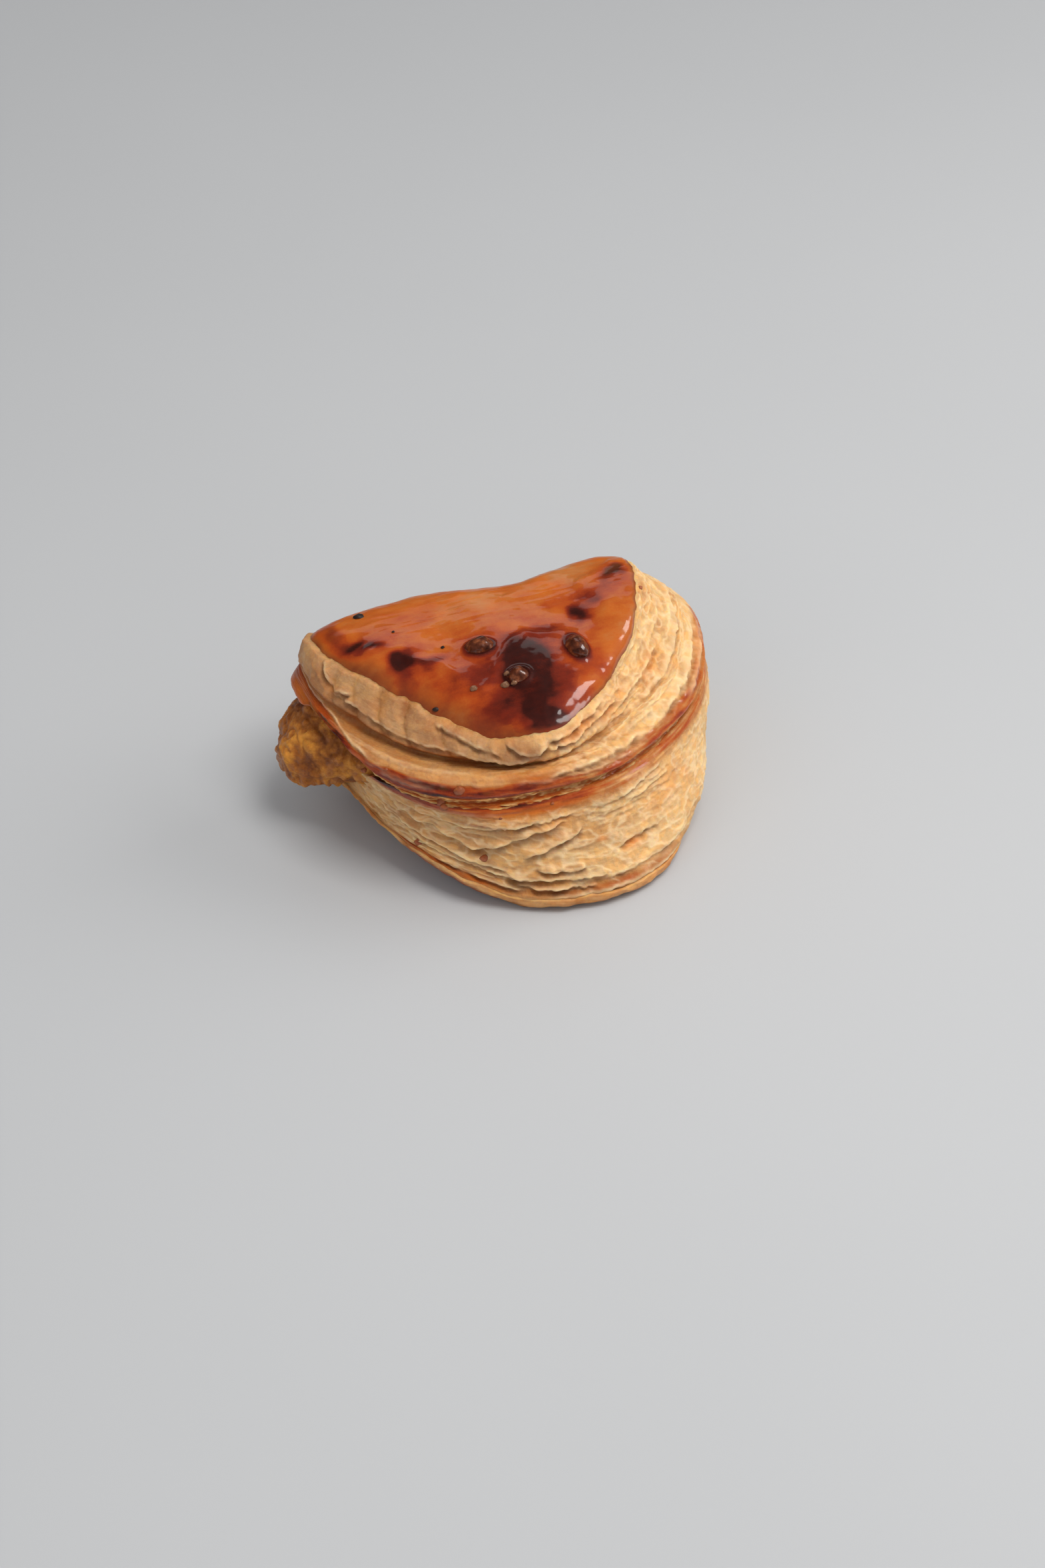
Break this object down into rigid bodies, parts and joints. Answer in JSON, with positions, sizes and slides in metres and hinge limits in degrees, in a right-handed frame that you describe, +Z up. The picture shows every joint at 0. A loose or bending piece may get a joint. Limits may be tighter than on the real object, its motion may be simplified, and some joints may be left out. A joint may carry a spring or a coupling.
{
  "type": "turnover pastry",
  "caption": "Half-moon puff pastry turnover with a glazed domed top, flaky cut edges, a browned seam, and filling running out of its open end.",
  "frame": {"origin": "middle of the footprint's bounding box, on the surface it lies on", "axes": "+X along the straight fold, away from the open end; +Y from the curved cut edge to the fold; +Z up through the glazed dome"},
  "size_m": [0.1181, 0.0833, 0.0547],
  "materials": {
    "pastry": "flaky baked pastry, pale gold on the cut edges and brown at the seam",
    "glaze": "glossy baked egg and sugar glaze, amber with burnt spots",
    "filling": "moist baked filling, yellow brown",
    "nut": "roasted and glazed",
    "seed": "dry",
    "crumb": "dry, chopped"
  },
  "bodies": {
    "root": {"pastry": "pastry", "filling": "filling", "nut_left": "nut", "nut_right": "nut", "nut_front": "nut"}
  },
  "joints": []
}
